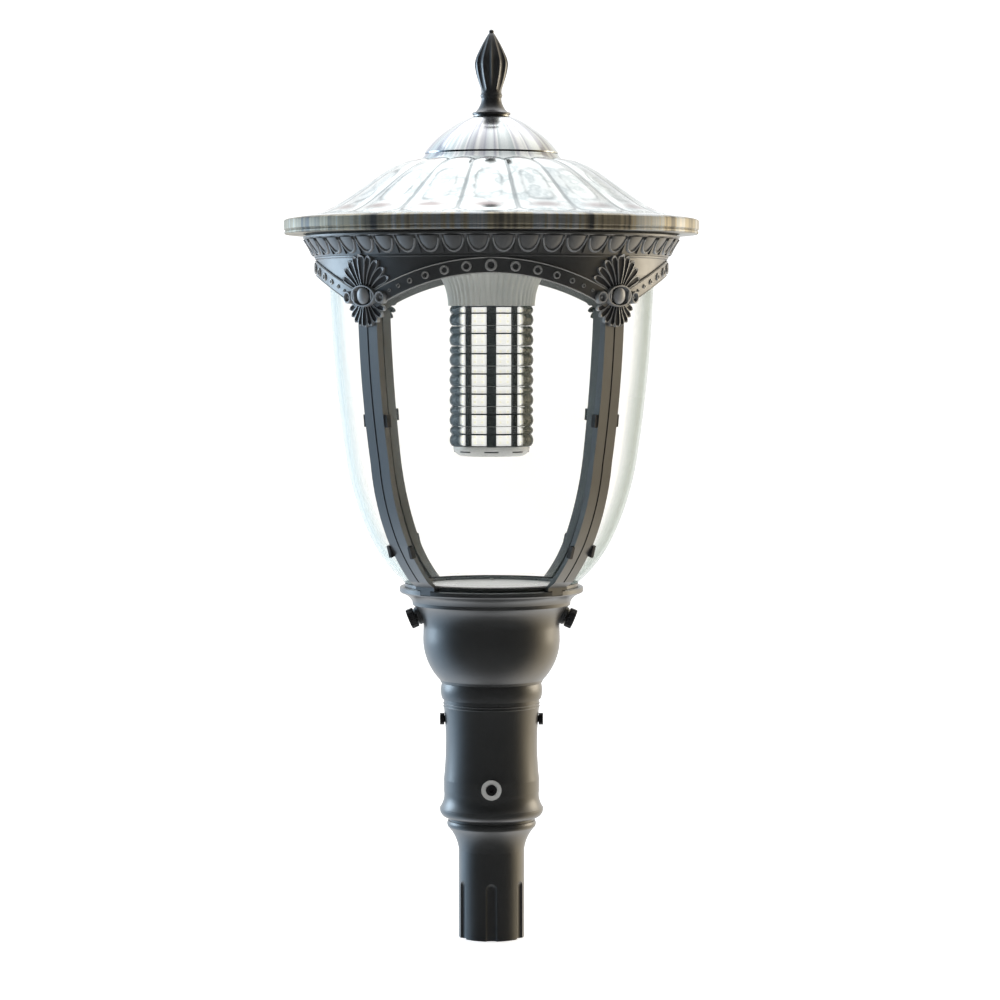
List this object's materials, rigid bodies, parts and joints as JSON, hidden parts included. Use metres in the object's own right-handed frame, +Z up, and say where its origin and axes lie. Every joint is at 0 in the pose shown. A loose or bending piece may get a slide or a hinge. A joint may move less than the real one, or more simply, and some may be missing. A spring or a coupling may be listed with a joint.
{
  "type": "post top lantern",
  "caption": "Round post top lantern: clear bowl in four curved ribs, crown with an egg band, lobed polished roof and finial, on a waisted collar over a fluted post head.",
  "frame": {"origin": "centre of the post head's lower mouth, on the lantern's upright axis", "axes": "+Z up along the lantern's axis, -Y towards the viewer, +X to the viewer's right"},
  "size_m": [0.475, 0.475, 1.0445],
  "materials": {
    "paint": "satin graphite",
    "roof_metal": "polished",
    "clear": "clear acrylic",
    "lens": "clear ribbed",
    "sink": "bead blasted",
    "tray": "white reflector",
    "zinc": "zinc plated",
    "blackened": "blackened",
    "brass": "plain",
    "rubber": "matt",
    "board": "white board",
    "case": "moulded",
    "knob": "moulded"
  },
  "bodies": {
    "post_head": {"post_head": "paint"},
    "lantern": {"bowl": "clear", "bowl_clips": "knob", "bowl_flange_gaskets": "rubber", "bowl_foot_gasket": "rubber", "cable_gland": "knob", "cage_base_ring": "paint", "collar_bolts": "zinc", "cover_screws": "zinc", "crown_ring": "paint", "cup": "paint", "cup_cover": "tray", "driver_tray": "tray", "earth_screw": "brass", "end_cap_screws": "zinc", "heat_sink": "sink", "lamp_bolts": "zinc", "lamp_core": "sink", "lamp_end_cap": "sink", "lamp_tray": "tray", "lamp_tray_screws": "zinc", "lead_grommet": "rubber", "led_boards": "board", "led_driver": "case", "lens_ring_1": "lens", "lens_ring_2": "lens", "lens_ring_3": "lens", "lens_ring_4": "lens", "lens_ring_5": "lens", "lens_ring_6": "lens", "lens_ring_7": "lens", "lower_screw_seats": "paint", "lower_set_screws": "blackened", "neck_collar": "paint", "palmette_front_left": "paint", "palmette_front_right": "paint", "palmette_rear_left": "paint", "palmette_rear_right": "paint", "retaining_ring": "tray", "retaining_screws": "zinc", "rib_foot_screws": "zinc", "rib_front_left": "paint", "rib_front_right": "paint", "rib_rear_left": "paint", "rib_rear_right": "paint", "rib_top_screws": "zinc", "roof_tie_rod": "zinc", "terminal_block": "case", "tie_rod_nuts": "zinc", "tray_screws": "zinc", "upper_set_screws": "blackened"},
    "roof": {"roof_canopy": "roof_metal", "roof_cap": "roof_metal", "roof_gasket": "rubber"},
    "finial_seat": {"finial_washer": "zinc"},
    "finial_body": {"finial": "paint"},
    "right_washer": {"right_clamp_washer": "zinc"},
    "right_screw": {"right_clamp_screw": "knob"},
    "left_washer": {"left_clamp_washer": "zinc"},
    "left_screw": {"left_clamp_screw": "knob"}
  },
  "joints": [
    {"name": "lantern_swivel", "type": "hinge", "parent": "post_head", "child": "lantern", "pos_m": [0, 0, 0.2], "axis": [0, 0, 1], "range_deg": [-180, 180]},
    {"name": "roof_lift", "type": "slide", "parent": "lantern", "child": "roof", "axis": [0, 0, 1], "range_m": [0, 0.2]},
    {"name": "finial_travel", "type": "slide", "parent": "roof", "child": "finial_seat", "axis": [0, 0, 1], "range_m": [0, 0.0045]},
    {"name": "finial_turn", "type": "hinge", "parent": "finial_seat", "child": "finial_body", "pos_m": [0, 0, 0.95], "axis": [0, 0, 1], "range_deg": [0, 1080]},
    {"name": "right_clamp_travel", "type": "slide", "parent": "lantern", "child": "right_washer", "axis": [0.9205, 0, -0.3907], "range_m": [0, 0.00375]},
    {"name": "right_clamp_turn", "type": "hinge", "parent": "right_washer", "child": "right_screw", "pos_m": [0.0845, 0, 0.3724], "axis": [0.9205, 0, -0.3907], "range_deg": [0, 1080]},
    {"name": "left_clamp_travel", "type": "slide", "parent": "lantern", "child": "left_washer", "axis": [-0.9205, 0, -0.3907], "range_m": [0, 0.00375]},
    {"name": "left_clamp_turn", "type": "hinge", "parent": "left_washer", "child": "left_screw", "pos_m": [-0.0845, 0, 0.3724], "axis": [-0.9205, 0, -0.3907], "range_deg": [0, 1080]}
  ],
  "couplings": [
    {"joint": "finial_turn", "follows": "finial_travel", "rad_per_m": 4188.8},
    {"joint": "right_clamp_turn", "follows": "right_clamp_travel", "rad_per_m": 5026.5},
    {"joint": "left_clamp_turn", "follows": "left_clamp_travel", "rad_per_m": 5026.5}
  ]
}
